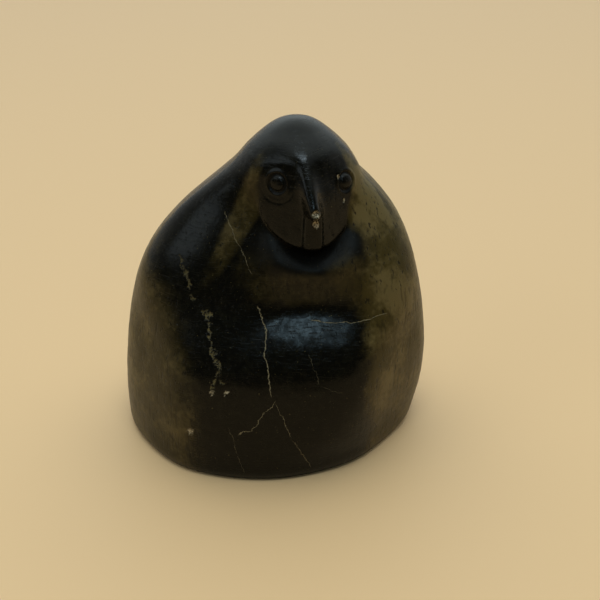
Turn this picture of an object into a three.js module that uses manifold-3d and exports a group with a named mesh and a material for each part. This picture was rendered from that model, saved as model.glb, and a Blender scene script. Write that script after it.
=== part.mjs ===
// A hand-carved soapstone bird: one solid stone, a squat hooded body with the face carved on its front.
// Millimetres. +Z up. The bird looks along -Y, and +X is on the right of someone who faces it.
// The origin is the centre of the flat underside, on which the carving rests.
import * as THREE from "three";
import Module from "manifold-3d";

// Driving dimensions of the stone.
const HEIGHT = 81; // underside to crown
const WIDTH = 75; // across both flanks
const DEPTH = 56; // breast to back
const WORN_EDGE_RISE = 3.2; // height of the rounding round the underside
const WORN_EDGE_INSET = 1.5; // how far that rounding draws the underside in
const SHELF_CREASE = 1.6; // width of the crease between shelf and neck, in the middle
const SHELF_CREASE_SIDES = 9; // and towards either flank
const SHELF_ROUNDING = 8; // width of the rounding between shelf and breast

// Driving dimensions of the face.
const HEAD_WIDTH = 25.4; // across the cheeks
const CHEEK_ROUND = 18; // radius of the arc along which a cheek leans back above its level
const FACE_REACH = 15.8; // leaning axis to the front of the face
const EYE_BEAD_RADIUS = 1.65;
const EYE_BEAD_HEIGHT = 0.5; // how far the bead stands out
const EYE_GROOVE_RADIUS = 1.98; // centre line of the ring cut round the bead
const EYE_GROOVE_DEPTH = 0.36;
const EYE_LID_RADIUS = 2.6; // centre line of the raised lid
const EYE_LID_HEIGHT = 0.15;
const BEAK_ROOT_HEIGHT = 0.25; // how far the ridge stands out at the brow
const BEAK_TIP_HEIGHT = 2.9; // and at its blunt tip
const BEAK_HALF_WIDTH = 1.5;
const BEAK_TAPER = 0.2; // half width lost between brow and tip
const BEAK_FLAT = 0.55; // half width of the flat along the top of the ridge
const BILL_HALF_WIDTH = 2.2; // the lower bill, a flat tongue on the chin
const BILL_HEIGHT = 0.9;
const BILL_EDGE = 0.8; // width of the slope round the tongue
const BILL_BLEND = 0.3; // rounding where beak and bill meet

// Free form. Heights are shares of HEIGHT; side, front and back reaches, measured from the
// middle of the underside, are shares of WIDTH and DEPTH.
const SIDES_AND_BACK = [
  { at: 0.0, left: 0.513, right: 0.468, back: 0.411 },
  { at: 0.123, left: 0.516, right: 0.497, back: 0.429 },
  { at: 0.272, left: 0.502, right: 0.504, back: 0.429 },
  { at: 0.42, left: 0.477, right: 0.486, back: 0.407 },
  { at: 0.543, left: 0.438, right: 0.459, back: 0.365 },
  { at: 0.642, left: 0.382, right: 0.426, back: 0.325 },
  { at: 0.716, left: 0.316, right: 0.387, back: 0.293 },
  { at: 0.802, left: 0.212, right: 0.314, back: 0.248 },
  { at: 0.877, left: 0.117, right: 0.232, back: 0.193 },
  { at: 0.938, left: 0.053, right: 0.189, back: 0.132 },
];
const BREAST = [
  { at: 0.0, front: 0.564 },
  { at: 0.12, front: 0.568 },
  { at: 0.36, front: 0.532 },
  { at: 0.7, front: 0.46 },
];
const NECK = [
  { at: 0.4, front: 0.384 },
  { at: 0.5, front: 0.362 },
  { at: 0.58, front: 0.344 },
  { at: 0.632, front: 0.326 },
  { at: 0.656, front: 0.28 },
  { at: 0.68, front: 0.236 },
  { at: 0.72, front: 0.222 },
  { at: 0.802, front: 0.2 },
  { at: 0.877, front: 0.205 },
  { at: 0.938, front: 0.198 },
];
// The hollow under the chin climbs to either side: the share of the height at a quarter turn, and
// the heights between which that fades out.
const HOLLOW_CLIMB = 0.22;
const HOLLOW_TOP = [0.7, 0.85];
// To either side of the neck the front is a smoother shoulder.
const SHOULDER = [
  { at: 0.4, front: 0.384 },
  { at: 0.56, front: 0.345 },
  { at: 0.68, front: 0.286 },
  { at: 0.8, front: 0.226 },
  { at: 0.938, front: 0.2 },
];
// A sloping shelf joins breast and neck: its middle, and the degrees that it leans from upright.
const SHELF = { at: 0.44, front: 0.446, lean: 40 };
const CREASE_FADE = [18, 52]; // degrees to either side of the face over which the crease widens
// The sections stand round an axis that leans right and forward, then back a little at the crown.
const LEAN = { right: 0.093, front: 0.071, full: 0.69 };
const CROWN_DRIFT = { left: 0.02, back: 0.024, from: 0.79 };
// How square the front of a section is: rounder at the foot and at the neck than at the belly.
const FRONT_SQUARENESS = { foot: 2.3, belly: 2.8, neck: 2.0 };
const FOOT_TO_BELLY = [0.07, 0.35];
const BELLY_TO_NECK = [0.54, 0.79];
const BACK_SQUARENESS = 2.3;
// The front corners are ground to flanks: upright planes, at shares of the corner's own reach.
// One more plane takes the front in beside the right foot. They fade out above the breast.
const FLANKS = [
  { turn: -52, foot: 1.01, belly: 0.945 },
  { turn: 50, foot: 0.91, belly: 0.885 },
  { turn: 22, foot: 0.955, belly: 1.12 },
];
const FOOT_TO_FLANK = [0.0, 0.3];
const FLANK_FADE = [0.37, 0.62];
const FLANK_BLEND = 0.08; // share of WIDTH over which a flank rounds into the breast

// The head: half widths are shares of HEAD_WIDTH and fronts are shares of FACE_REACH.
const HEAD = [
  { at: 0.66, half: 0.431, front: 0.947 },
  { at: 0.728, half: 0.457, front: 1.0 },
  { at: 0.79, half: 0.48, front: 0.994 },
  { at: 0.84, half: 0.5, front: 0.962 },
  { at: 0.881, half: 0.465, front: 0.899 },
  { at: 0.917, half: 0.39, front: 0.759 },
  { at: 0.953, half: 0.268, front: 0.532 },
];
const HEAD_TOP = 0.986;
const HEAD_SQUARENESS = 2.3;
const FACE_TURN = 8; // degrees that the face turns to +X
const CHIN = 0.672; // height of the jaw's lower edge
// The jaw narrows to the chin over a rise, along a curve that is rounder as its power grows.
const JAW_SIDES = { rise: 0.105, power: 2.2 };
const JAW_FRONT = { rise: 0.037, power: 2.6 };
// A plane beside the beak carries each eye. Its reach is a share of HEAD_WIDTH, at one level.
const CHEEK = { turn: 38, tilt: 9, reach: 0.461, level: 0.84 };
// How broadly a cheek is rounded into the rest, in shares of HEAD_WIDTH, and the heights between.
const CHEEK_EDGE = { jaw: 0.055, brow: 0.12 };
const CHEEK_EDGE_RISE = [0.78, 0.9];
const HOOD_BLEND = { jaw: 0.032, crown: 0.268 }; // shares of HEAD_WIDTH
const HOOD_BLEND_RISE = [0.79, 0.9];
const CROWN_NARROWING = 0.087; // share of HEIGHT below the crown over which that blend narrows

// Places on the face: turns in degrees from straight ahead, heights as shares of HEIGHT.
const EYES = [
  { turn: -27.5, at: 0.861 },
  { turn: 53.5, at: 0.852 },
];
const BEAK = [
  { turn: 6, at: 0.914 },
  { turn: 4.2, at: 0.87 },
  { turn: 8.6, at: 0.807 },
];
const BILL = [
  { turn: 8.4, at: 0.795 },
  { turn: 7.6, at: 0.71 },
];
const BEAK_SWEEP = 1.4; // above 1 keeps the ridge low for longer below the brow
const BEAK_SHOULDER = 1.8; // above 1 makes the sides of the ridge fuller
// The carving begins over a short rise at the chin.
const CARVING_RISE = [CHIN - 0.004, CHIN + 0.006];

// Fineness of the surface.
const COLUMNS = 88;
const FRONT_DENSITY = 0.45; // below 1 crowds the columns towards the face
const EDGE_ROWS = 4;
const BREAST_ROWS = 5;
const SHELF_ROWS = 6;
const NECK_ROWS = 5;
const SHELF_SPAN = [0.33, 0.53]; // heights between which the shelf's rows stand
const FACE_ROWS = 16;
const FACE_ROWS_TOP = 0.938;
const FACE_ROW_CROWDING = 1.35; // above 1 crowds the rows towards the jaw
const CROWN_ROWS = 5;
const CROWN_ROW_LEFT = 0.6; // spacing left between the last row and the crown, as a share of a row
const JAW_ROW_STEP = 0.006;
const JAW_ROW_LIMIT = 0.83;
const JAW_ROW_GAP = 0.004;
const JAW_HALVINGS = 12;
const RING_SIDES = 6;
const RING_STEPS = 24;
const WELD = 1e-4; // vertices closer than this are one
const LEAST_REACH = 1e-3; // a section never closes further than this
const LEAST_SHARE = 0.02;
const GRAZING = 0.15; // a plane is out of reach where the cosine is smaller
const SEAT_STEP = 0.01; // step, in radians and in share of HEIGHT, that finds which way an eye faces

const { clamp, degToRad, radToDeg, lerp: mix } = THREE.MathUtils;

// A fair curve through the given stations: a natural cubic spline, found by sweeping its
// tridiagonal system forwards and back.
function fairCurve(stations, values) {
  const last = stations.length - 1;
  const bend = new Array(last + 1).fill(0);
  const share = new Array(last + 1).fill(0);
  for (let i = 1; i < last; i++) {
    const before = stations[i] - stations[i - 1];
    const after = stations[i + 1] - stations[i];
    const slopeChange = (values[i + 1] - values[i]) / after - (values[i] - values[i - 1]) / before;
    const pivot = 2 * (before + after) - before * share[i - 1];
    share[i] = after / pivot;
    bend[i] = (6 * slopeChange - before * bend[i - 1]) / pivot;
  }
  for (let i = last - 1; i > 0; i--) bend[i] -= share[i] * bend[i + 1];
  return (at) => {
    const x = clamp(at, stations[0], stations[last]);
    let i = 0;
    while (i < last - 1 && x > stations[i + 1]) i++;
    const span = stations[i + 1] - stations[i];
    const t = x - stations[i];
    const slope = (values[i + 1] - values[i]) / span - (span * (2 * bend[i] + bend[i + 1])) / 6;
    const cubic = (t ** 3 * (bend[i + 1] - bend[i])) / (6 * span);
    return values[i] + t * slope + (t * t * bend[i]) / 2 + cubic;
  };
}

// 0 below one value and 1 above the other, easing between them.
function ease(from, to, x) {
  const t = clamp((x - from) / (to - from), 0, 1);
  return t * t * (3 - 2 * t);
}

// The larger of two reaches, rounded by a cubic where they differ by less than a width.
function blendMax(a, b, width) {
  const near = Math.max(width - Math.abs(a - b), 0) / width;
  return Math.max(a, b) + (near ** 3 * width) / 6;
}

// The smaller of two reaches, rounded in the same way.
function blendMin(a, b, width) {
  return -blendMax(-a, -b, width);
}

// The leaning axis at a height, given as a share.
function axisAt(share) {
  const lean = ease(0, LEAN.full, share);
  const drift = ease(CROWN_DRIFT.from, 1, share);
  return {
    x: WIDTH * (LEAN.right * lean - CROWN_DRIFT.left * drift),
    y: -DEPTH * (LEAN.front * lean - CROWN_DRIFT.back * drift),
  };
}

// Reaches from the axis are kept as squares, so that a fair curve through them closes as a dome.
function domedReach(rows, reachOf, top) {
  const stations = [...rows.map((row) => row.at), top];
  const squares = [...rows.map((row) => reachOf(row) ** 2), 0];
  const curve = fairCurve(stations, squares);
  return (share) => Math.sqrt(Math.max(curve(share), LEAST_REACH ** 2));
}
const frontOf = (row) => DEPTH * row.front + axisAt(row.at).y;
const leftReach = domedReach(SIDES_AND_BACK, (row) => WIDTH * row.left + axisAt(row.at).x, 1);
const rightReach = domedReach(SIDES_AND_BACK, (row) => WIDTH * row.right - axisAt(row.at).x, 1);
const backReach = domedReach(SIDES_AND_BACK, (row) => DEPTH * row.back - axisAt(row.at).y, 1);
const breastReach = fairCurve(BREAST.map((row) => row.at), BREAST.map(frontOf));
const neckReach = domedReach(NECK, frontOf, 1);
const shoulderReach = domedReach(SHOULDER, frontOf, 1);
const headHalf = domedReach(HEAD, (row) => HEAD_WIDTH * row.half, HEAD_TOP);
const headFront = domedReach(HEAD, (row) => FACE_REACH * row.front, HEAD_TOP);

// Front half depth of a section: the breast, rounded into the shelf, which meets the neck in a
// crease. The crease is sharp in the middle and widens towards either flank.
function frontReach(turn, share) {
  const rise = (share - SHELF.at) * HEIGHT;
  const shelf = DEPTH * SHELF.front + axisAt(share).y - Math.tan(degToRad(SHELF.lean)) * rise;
  const rounded = blendMin(breastReach(share), shelf, SHELF_ROUNDING);
  const sideways = ease(...CREASE_FADE, Math.abs(radToDeg(turn) - FACE_TURN));
  const aside = 1 - Math.cos(turn - degToRad(FACE_TURN));
  const climb = HOLLOW_CLIMB * aside * (1 - ease(...HOLLOW_TOP, share));
  const above = mix(neckReach(share - climb), shoulderReach(share), sideways);
  return blendMax(rounded, above, mix(SHELF_CREASE, SHELF_CREASE_SIDES, sideways));
}

// Reach of a rounded section, squarer as its power rises, at a turn from straight ahead.
function oval(turn, side, ahead, power) {
  const across = Math.abs(Math.sin(turn)) / side;
  const along = Math.abs(Math.cos(turn)) / ahead;
  return (across ** power + along ** power) ** (-1 / power);
}

// Reach to an upright plane that stands at a distance, facing one way.
function planeReach(turn, facing, distance) {
  const toward = Math.cos(turn - facing);
  return toward > GRAZING ? distance / toward : Infinity;
}

// The hooded body, before the head is added.
function bodyReach(turn, share) {
  const squareness = mix(
    mix(FRONT_SQUARENESS.foot, FRONT_SQUARENESS.belly, ease(...FOOT_TO_BELLY, share)),
    FRONT_SQUARENESS.neck,
    ease(...BELLY_TO_NECK, share),
  );
  const sideReach = (angle) => (Math.sin(angle) > 0 ? rightReach(share) : leftReach(share));
  const facesFront = Math.cos(turn) > 0;
  const ahead = facesFront ? frontReach(turn, share) : backReach(share);
  let reach = oval(turn, sideReach(turn), ahead, facesFront ? squareness : BACK_SQUARENESS);
  for (const flank of FLANKS) {
    const facing = degToRad(flank.turn);
    const corner = oval(facing, sideReach(facing), breastReach(share), squareness);
    const distance = mix(flank.foot, flank.belly, ease(...FOOT_TO_FLANK, share)) * corner;
    const cut = blendMin(reach, planeReach(turn, facing, distance), FLANK_BLEND * WIDTH);
    reach = mix(cut, reach, ease(...FLANK_FADE, share));
  }
  const worn = clamp(1 - (share * HEIGHT) / WORN_EDGE_RISE, 0, 1);
  return reach - WORN_EDGE_INSET * (1 - Math.sqrt(1 - worn * worn));
}

// 0 at the chin and 1 above the jaw's rise.
function jawClosing(jaw, share) {
  const t = clamp((CHIN + jaw.rise - share) / jaw.rise, 0, 1);
  return (1 - t ** jaw.power) ** (1 / jaw.power);
}

// The head, which narrows to the chin below and is cut by a plane for each cheek.
function headReach(turn, share) {
  const half = Math.max(headHalf(share) * jawClosing(JAW_SIDES, share), LEAST_REACH);
  const front = Math.max(headFront(share) * jawClosing(JAW_FRONT, share), LEAST_REACH);
  const faceTurn = turn - degToRad(FACE_TURN);
  const ahead = Math.cos(faceTurn) > 0;
  let reach = oval(faceTurn, half, ahead ? front : half, ahead ? HEAD_SQUARENESS : 2);
  const tilt = degToRad(CHEEK.tilt);
  const rise = (share - CHEEK.level) * HEIGHT;
  const leansBack = Math.max(rise, 0) ** 2 / (2 * CHEEK_ROUND);
  const distance = (CHEEK.reach * HEAD_WIDTH - Math.sin(tilt) * rise) / Math.cos(tilt) - leansBack;
  const edge = mix(CHEEK_EDGE.jaw, CHEEK_EDGE.brow, ease(...CHEEK_EDGE_RISE, share)) * HEAD_WIDTH;
  for (const side of [-1, 1]) {
    const facing = degToRad(FACE_TURN + side * CHEEK.turn);
    reach = blendMin(reach, planeReach(turn, facing, distance), edge);
  }
  return reach;
}

// Body and head together, without the carving on the face.
function plainReach(turn, share) {
  const body = bodyReach(turn, share);
  if (share <= CHIN || share >= HEAD_TOP) return body;
  const blend = mix(HOOD_BLEND.jaw, HOOD_BLEND.crown, ease(...HOOD_BLEND_RISE, share));
  const towardsCrown = clamp((1 - share) / CROWN_NARROWING, LEAST_SHARE, 1);
  return blendMax(body, headReach(turn, share), blend * HEAD_WIDTH * towardsCrown);
}

function pointAt(turn, share, reach) {
  const axis = axisAt(share);
  const x = axis.x + reach * Math.sin(turn);
  const y = axis.y - reach * Math.cos(turn);
  return new THREE.Vector3(x, y, share * HEIGHT);
}
const plainPoint = (turn, share) => pointAt(turn, share, plainReach(turn, share));
const facePoint = ({ turn, at }) => plainPoint(degToRad(turn), at);

// The middle line of the beak, a smooth run of points from brow to tip.
const beakPlaces = BEAK.map((place) => new THREE.Vector3(place.turn, place.at, 0));
const beakLine = new THREE.QuadraticBezierCurve3(...beakPlaces)
  .getPoints(8)
  .map((place) => facePoint({ turn: place.x, at: place.y }));
const billLine = BILL.map(facePoint);

// Distance from a point to a run of points, and how far along the run the nearest place is.
function nearestOn(line, point) {
  const nearest = { distance: Infinity, along: 0 };
  const foot = new THREE.Vector3();
  for (let i = 0; i + 1 < line.length; i++) {
    const piece = new THREE.Line3(line[i], line[i + 1]);
    const t = piece.closestPointToPointParameter(point, true);
    const distance = piece.at(t, foot).distanceTo(point);
    if (distance < nearest.distance) {
      nearest.distance = distance;
      nearest.along = (i + t) / (line.length - 1);
    }
  }
  return nearest;
}

// Beak ridge and bill tongue, as a height added to the plain surface.
function faceRelief(point) {
  const beak = nearestOn(beakLine, point);
  const fall = Math.max(beak.distance - BEAK_FLAT, 0) / (BEAK_HALF_WIDTH - BEAK_TAPER * beak.along);
  const rise = mix(BEAK_ROOT_HEIGHT, BEAK_TIP_HEIGHT, beak.along ** BEAK_SWEEP);
  const ridge = rise * Math.exp(-(fall ** BEAK_SHOULDER));
  const outer = BILL_HALF_WIDTH + BILL_EDGE / 2;
  const inner = BILL_HALF_WIDTH - BILL_EDGE / 2;
  const tongue = BILL_HEIGHT * ease(outer, inner, nearestOn(billLine, point).distance);
  return blendMax(ridge, tongue, BILL_BLEND);
}

function surfacePoint(turn, share) {
  const reach = plainReach(turn, share);
  const plain = pointAt(turn, share, reach);
  const onFace = Math.cos(turn) > 0 ? ease(...CARVING_RISE, share) : 0;
  return onFace > 0 ? pointAt(turn, share, reach + onFace * faceRelief(plain)) : plain;
}

// The height at which the head first stands out of the body, or a limit where it never does.
function jawLine(turn) {
  const standsOut = (share) => headReach(turn, share) > bodyReach(turn, share);
  let high = CHIN + JAW_ROW_STEP;
  while (high < JAW_ROW_LIMIT && !standsOut(high)) high += JAW_ROW_STEP;
  if (high >= JAW_ROW_LIMIT) return JAW_ROW_LIMIT;
  let low = high - JAW_ROW_STEP;
  for (let i = 0; i < JAW_HALVINGS; i++) {
    const middle = (low + high) / 2;
    if (standsOut(middle)) high = middle;
    else low = middle;
  }
  return high;
}

// Heights of one column's points: close together at the worn edge, on the shelf, at the jaw and
// at the crown.
function columnShares(turn) {
  const shares = [];
  const spread = (from, to, rows, crowding = 1) => {
    for (let i = 0; i < rows; i++) shares.push(mix(from, to, (i / rows) ** crowding));
  };
  const edge = WORN_EDGE_RISE / HEIGHT;
  const jaw = jawLine(turn);
  const [shelfFoot, shelfTop] = SHELF_SPAN;
  for (let i = 0; i < EDGE_ROWS; i++) {
    shares.push(edge * (1 - Math.cos((Math.PI * i) / (2 * EDGE_ROWS))));
  }
  spread(edge, shelfFoot, BREAST_ROWS);
  spread(shelfFoot, shelfTop, SHELF_ROWS);
  spread(shelfTop, jaw - JAW_ROW_GAP, NECK_ROWS);
  shares.push(jaw - JAW_ROW_GAP);
  spread(jaw + JAW_ROW_GAP / 4, FACE_ROWS_TOP, FACE_ROWS, FACE_ROW_CROWDING);
  for (let i = 0; i <= CROWN_ROWS; i++) {
    const left = 1 - i / (CROWN_ROWS + CROWN_ROW_LEFT);
    shares.push(1 - (1 - FACE_ROWS_TOP) * left * left);
  }
  return shares;
}

// The closed surface: columns of points from the underside to the crown, with one point in the
// middle of the underside and one on the crown.
function stoneGeometry() {
  const columns = Array.from({ length: COLUMNS }, (_, i) => {
    const u = (2 * i) / COLUMNS - 1;
    const turn = Math.PI * (FRONT_DENSITY * u + (1 - FRONT_DENSITY) * u ** 3);
    return columnShares(turn).map((share) => surfacePoint(turn, share));
  });
  const rows = columns[0].length;
  const positions = [];
  for (let row = 0; row < rows; row++) {
    for (const column of columns) positions.push(...column[row].toArray());
  }
  const underside = rows * COLUMNS;
  const crown = underside + 1;
  positions.push(0, 0, 0);
  positions.push(axisAt(1).x, axisAt(1).y, HEIGHT);
  const triangles = [];
  for (let i = 0; i < COLUMNS; i++) {
    const next = (i + 1) % COLUMNS;
    triangles.push(underside, next, i);
    for (let row = 0; row + 1 < rows; row++) {
      const below = row * COLUMNS;
      const above = below + COLUMNS;
      triangles.push(below + i, below + next, above + next);
      triangles.push(below + i, above + next, above + i);
    }
    const top = (rows - 1) * COLUMNS;
    triangles.push(top + i, top + next, crown);
  }
  const geometry = new THREE.BufferGeometry();
  geometry.setAttribute("position", new THREE.Float32BufferAttribute(positions, 3));
  geometry.setIndex(triangles);
  return geometry;
}

const wasm = await Module();
wasm.setup();

// A closed geometry as a solid: its shared vertices are found by position alone.
function solidOf(geometry) {
  const at = geometry.getAttribute("position");
  const index = geometry.getIndex();
  const found = new Map();
  const vertices = [];
  const same = [];
  for (let i = 0; i < at.count; i++) {
    const point = [at.getX(i), at.getY(i), at.getZ(i)];
    const key = point.map((value) => Math.round(value / WELD)).join();
    if (!found.has(key)) {
      found.set(key, vertices.length / 3);
      vertices.push(...point);
    }
    same.push(found.get(key));
  }
  const corners = [];
  for (let i = 0; i < index.count; i += 3) {
    const [a, b, c] = [0, 1, 2].map((k) => same[index.getX(i + k)]);
    if (a !== b && b !== c && c !== a) corners.push(a, b, c);
  }
  return new wasm.Manifold(
    new wasm.Mesh({
      numProp: 3,
      vertProperties: new Float32Array(vertices),
      triVerts: new Uint32Array(corners),
    }),
  );
}

// Where an eye sits: its point on the stone, and the turn that faces it outward.
function eyeSeat(eye) {
  const turn = degToRad(eye.turn);
  const centre = facePoint(eye);
  const sideways = plainPoint(turn + SEAT_STEP, eye.at).sub(plainPoint(turn - SEAT_STEP, eye.at));
  const upward = plainPoint(turn, eye.at + SEAT_STEP).sub(plainPoint(turn, eye.at - SEAT_STEP));
  const outward = sideways.cross(upward).normalize();
  const facing = new THREE.Quaternion().setFromUnitVectors(new THREE.Vector3(0, 0, 1), outward);
  return { centre, outward, facing };
}

// Stands a geometry on an eye's seat, raised by a height along the way that the eye faces.
function onSeat(geometry, seat, height) {
  const place = seat.centre.clone().addScaledVector(seat.outward, height);
  return solidOf(geometry.applyQuaternion(seat.facing).translate(place.x, place.y, place.z));
}

// A ring of round section, lying flat.
function ring(radius, section) {
  return new THREE.TorusGeometry(radius, section, RING_SIDES, RING_STEPS);
}

// Cuts the groove round an eye and adds its lid and bead. Lid and bead are sunk by half of
// their own half height.
function carveEye(stone, eye) {
  const seat = eyeSeat(eye);
  const lidSection = 2 * EYE_LID_HEIGHT;
  const beadHalfHeight = 2 * EYE_BEAD_HEIGHT;
  const lid = onSeat(ring(EYE_LID_RADIUS, lidSection), seat, EYE_LID_HEIGHT - lidSection);
  const groove = onSeat(ring(EYE_GROOVE_RADIUS, EYE_GROOVE_DEPTH), seat, 0);
  const ball = new THREE.SphereGeometry(EYE_BEAD_RADIUS, RING_STEPS, RING_SIDES);
  ball.rotateX(Math.PI / 2).scale(1, 1, beadHalfHeight / EYE_BEAD_RADIUS);
  const bead = onSeat(ball, seat, EYE_BEAD_HEIGHT - beadHalfHeight);
  return stone.add(lid).subtract(groove).add(bead);
}

function carvingGeometry() {
  const stone = EYES.reduce(carveEye, solidOf(stoneGeometry()));
  const mesh = stone.getMesh();
  const geometry = new THREE.BufferGeometry();
  geometry.setAttribute("position", new THREE.BufferAttribute(mesh.vertProperties, 3));
  geometry.setIndex(new THREE.BufferAttribute(mesh.triVerts, 1));
  geometry.computeVertexNormals();
  return geometry;
}

// Polished black-brown soapstone.
const soapstone = new THREE.MeshStandardMaterial({ color: 0x1d1a12, roughness: 0.25, metalness: 0 });

const carving = new THREE.Mesh(carvingGeometry(), soapstone);
carving.name = "bird_carving";

const part = new THREE.Group();
part.add(carving);

export default part;
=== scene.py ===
"""A small hand-carved soapstone bird: its fine surface, its rubbed stone with painted shade and a
painted floor reflection, and a plain studio.
"""

import logging
import math
from collections.abc import Callable, Iterator, Sequence
from dataclasses import dataclass, field
from enum import Enum

import bpy
import numpy as np
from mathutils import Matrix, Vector


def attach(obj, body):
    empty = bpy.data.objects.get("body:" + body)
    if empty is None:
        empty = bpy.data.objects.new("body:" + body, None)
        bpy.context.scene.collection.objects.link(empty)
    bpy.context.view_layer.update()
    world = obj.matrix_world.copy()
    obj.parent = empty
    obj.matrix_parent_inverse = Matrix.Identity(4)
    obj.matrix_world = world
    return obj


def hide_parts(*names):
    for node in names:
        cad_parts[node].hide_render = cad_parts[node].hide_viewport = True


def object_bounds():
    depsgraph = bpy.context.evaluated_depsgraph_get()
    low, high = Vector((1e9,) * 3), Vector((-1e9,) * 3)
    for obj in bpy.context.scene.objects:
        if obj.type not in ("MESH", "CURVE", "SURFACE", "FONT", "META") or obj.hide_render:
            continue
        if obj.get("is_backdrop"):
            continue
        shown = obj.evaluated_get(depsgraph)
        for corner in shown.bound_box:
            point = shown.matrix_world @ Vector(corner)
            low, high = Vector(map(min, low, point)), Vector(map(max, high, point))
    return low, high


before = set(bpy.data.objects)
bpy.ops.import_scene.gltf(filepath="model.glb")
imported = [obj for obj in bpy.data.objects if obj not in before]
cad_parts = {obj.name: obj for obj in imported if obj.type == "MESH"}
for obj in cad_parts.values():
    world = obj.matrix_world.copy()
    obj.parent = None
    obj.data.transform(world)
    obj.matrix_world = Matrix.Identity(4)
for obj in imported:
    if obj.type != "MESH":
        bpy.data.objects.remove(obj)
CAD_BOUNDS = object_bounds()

log = logging.getLogger("bird_carving")

NODE = "bird_carving"
MM = 0.001
# A plane that a ray meets at a smaller cosine than this is out of reach, at FAR metres.
LEAST_COSINE = 0.15
FAR = 1.0
# Reaches, and their squares, stay above these, so that nothing is divided by 0.
LEAST_REACH = 1e-6
LEAST_SQUARE = 1e-10

Array = np.ndarray
Curve = Callable[[Array], Array]
Pair = tuple[float, float]
Triple = tuple[float, float, float]
Table = tuple[tuple[float, ...], ...]
Socket = bpy.types.NodeSocket
Source = Socket | float | Sequence[float]


def fair_curve(stations: Sequence[float], values: Sequence[float]) -> Curve:
    """Makes a natural cubic spline.

    Its second derivatives solve the usual tridiagonal system and are 0 at both ends.

    Args:
        stations: increasing places along the curve.
        values: the curve's value at each station.

    Returns:
        A function from places, clamped to the stations' range, to values.
    """
    x = np.asarray(stations, float)
    y = np.asarray(values, float)
    span = np.diff(x)
    inner = np.arange(1, len(x) - 1)
    system = np.eye(len(x))
    system[inner, inner - 1] = span[:-1]
    system[inner, inner] = 2 * (span[:-1] + span[1:])
    system[inner, inner + 1] = span[1:]
    change = np.zeros(len(x))
    change[1:-1] = 6 * np.diff(np.diff(y) / span)
    bend = np.linalg.solve(system, change)

    def curve(at: Array) -> Array:
        """Evaluates the cubic of the span that holds each place."""
        q = np.clip(at, x[0], x[-1])
        i = np.clip(np.searchsorted(x, q) - 1, 0, len(x) - 2)
        t, h = q - x[i], span[i]
        slope = (y[i + 1] - y[i]) / h - h * (2 * bend[i] + bend[i + 1]) / 6
        return y[i] + t * slope + t**2 * bend[i] / 2 + t**3 * (bend[i + 1] - bend[i]) / (6 * h)

    return curve


def ease(start: float, end: float, x: Array) -> Array:
    """Returns 0 before start and 1 after end, with the cubic 3t^2 - 2t^3 between."""
    t = np.clip((x - start) / (end - start), 0, 1)
    return t * t * (3 - 2 * t)


def mix(a: Array, b: Array, share: Array) -> Array:
    """Returns a plus the share of the way to b."""
    return a + (b - a) * share


def blend_max(a: Array, b: Array, width: Array) -> Array:
    """Returns the larger reach, rounded by a cubic where they differ by less than a width."""
    near = np.maximum(width - np.abs(a - b), 0) / width
    return np.maximum(a, b) + near**3 * (width / 6)


def blend_min(a: Array, b: Array, width: Array) -> Array:
    """Returns the smaller reach, rounded in the same way."""
    return -blend_max(-a, -b, width)


def oval(turn: Array, side: Array, ahead: Array, power: Array) -> Array:
    """Returns a superellipse's reach: (|sin|/side)^p + (|cos|/ahead)^p = reach^-p."""
    sideways = (np.abs(np.sin(turn)) / side) ** power
    forward = (np.abs(np.cos(turn)) / ahead) ** power
    return (sideways + forward) ** (-1 / power)


def plane_reach(turn: Array, facing: float, distance: Array) -> Array:
    """Returns the reach to an upright plane: its distance over the cosine of turn - facing."""
    toward = np.cos(turn - facing)
    meets = toward > LEAST_COSINE
    return np.where(meets, distance / np.maximum(toward, LEAST_COSINE), FAR)


def soft_noise(points: Array, size: float, seed: int) -> Array:
    """Returns a smooth pattern between about -1 and 1: a mean of sine waves in seeded directions.

    Args:
        points: places in metres, with x, y and z last.
        size: wavelength of the broadest wave, in metres.
        seed: number that fixes the directions and phases.

    Returns:
        One value for each point.
    """
    waves, finer, weaker, spread = 9, 1.27, 1.12, 3.2
    random = np.random.default_rng(seed)
    total = np.zeros(points.shape[:-1])
    for step in range(waves):
        direction = random.normal(size=3)
        direction /= np.linalg.norm(direction)
        frequency = 2 * math.pi / size * finer**step
        phase = random.uniform(0, 2 * math.pi)
        total += np.sin(points @ direction * frequency + phase) / weaker**step
    return total / spread


@dataclass(frozen=True)
class Place:
    """A place on the stone: degrees from straight ahead, and a height as a share of the whole."""

    turn: float
    at: float


@dataclass(frozen=True)
class Flank:
    """An upright plane that grinds off a front corner, at shares of the corner's own reach."""

    turn: float
    foot: float
    belly: float


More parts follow.
